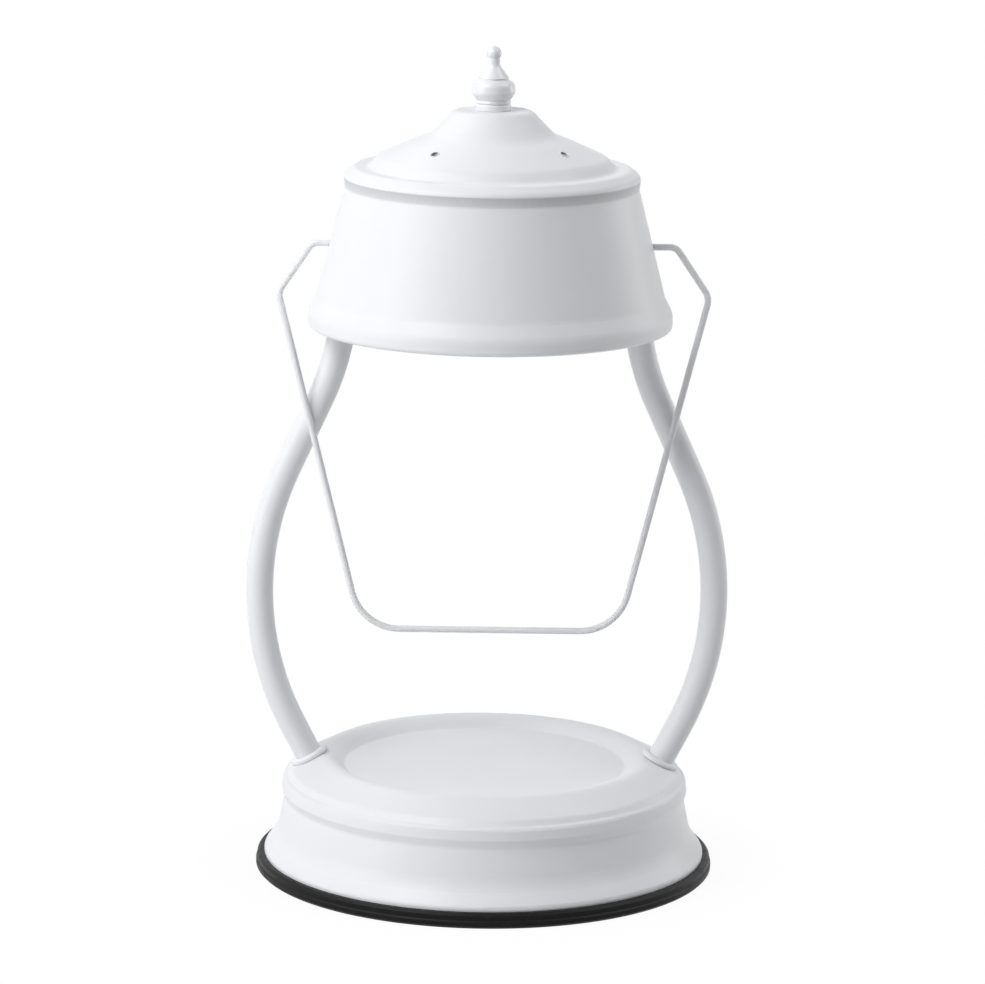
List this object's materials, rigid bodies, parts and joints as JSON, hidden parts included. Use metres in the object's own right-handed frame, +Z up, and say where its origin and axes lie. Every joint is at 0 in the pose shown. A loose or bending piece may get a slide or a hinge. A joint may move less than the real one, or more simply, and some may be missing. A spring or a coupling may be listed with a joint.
{
  "type": "candle warmer lamp",
  "caption": "White lantern-shaped candle warmer lamp: flared base with a jar seat, bowed tube posts, spun shade over a bulb, and a swinging wire carrying handle.",
  "frame": {"origin": "centre of the foot ring's underside, on the lamp's axis", "axes": "+Z up along the axis of base, shade and finial; +X towards the right post, seen from the front; -Y to the front, where the handle hangs"},
  "size_m": [0.1782, 0.17, 0.3066],
  "materials": {
    "white_enamel": "satin",
    "post_enamel": "satin",
    "shade_enamel": "satin",
    "finial_enamel": "gloss",
    "wire_enamel": "satin",
    "black_rubber": "satin",
    "zinc_steel": "satin",
    "screw_steel": "satin",
    "brass_fittings": "satin",
    "ceramic": "matte",
    "terminal_plastic": "matte",
    "pin_steel": "polished",
    "bulb_glass": "polished",
    "front_glass": "polished",
    "capsule_glass": "polished"
  },
  "bodies": {
    "lamp": {"foot_ring": "black_rubber", "base_shell": "white_enamel", "cord_inlet_bush": "black_rubber", "bottom_plate": "zinc_steel", "plate_standoffs": "zinc_steel", "plate_screws": "screw_steel", "terminal_block": "terminal_plastic", "left_post_collar": "white_enamel", "right_post_collar": "white_enamel", "left_foot_nipple": "brass_fittings", "right_foot_nipple": "brass_fittings", "foot_saddles": "terminal_plastic", "foot_nuts": "brass_fittings", "left_post": "post_enamel", "right_post": "post_enamel", "strap": "zinc_steel", "post_top_inserts": "brass_fittings", "strap_screws": "screw_steel", "centre_stud": "screw_steel", "stud_nuts": "screw_steel", "shade_spacer": "zinc_steel", "shade_shell": "shade_enamel", "finial": "finial_enamel", "lamp_holder": "ceramic", "holder_screws": "screw_steel", "bulb_pins": "pin_steel", "bulb_base": "ceramic", "bulb_bowl": "bulb_glass", "bulb_front_glass": "front_glass", "bulb_capsule": "capsule_glass"},
    "handle": {"wire_handle": "wire_enamel", "handle_caps": "screw_steel"}
  },
  "joints": [
    {"name": "handle_swing", "type": "hinge", "parent": "lamp", "child": "handle", "pos_m": [0, 0, 0.2339], "axis": [-1, 0, 0], "range_deg": [0, 348]}
  ]
}
